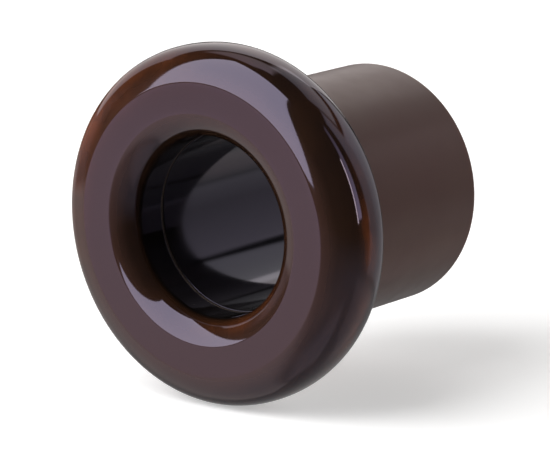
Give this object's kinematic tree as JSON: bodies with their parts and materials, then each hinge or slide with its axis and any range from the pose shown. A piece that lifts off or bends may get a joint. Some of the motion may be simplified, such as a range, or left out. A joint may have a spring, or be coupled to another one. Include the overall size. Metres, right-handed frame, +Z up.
{
  "type": "wall bushing insulator",
  "caption": "Round glazed porcelain wall bushing: a flanged head with a rounded lip and a straight tube that leads insulated wires through a drilled hole in a wall.",
  "frame": {"origin": "on the bushing's axis at the wall's surface, where the back of the flange seats", "axes": "+Y along the axis into the wall, from the head to the tube's far end; the head faces -Y; +Z up"},
  "size_m": [0.028, 0.023, 0.028],
  "materials": {
    "gloss_glaze": "glossy dark brown glaze",
    "satin_glaze": "satin dark brown glaze",
    "joint_cement": "matt fired cement"
  },
  "bodies": {
    "root": {"flange_head": "gloss_glaze", "wall_tube": "satin_glaze", "cement_bed": "joint_cement"}
  },
  "joints": []
}
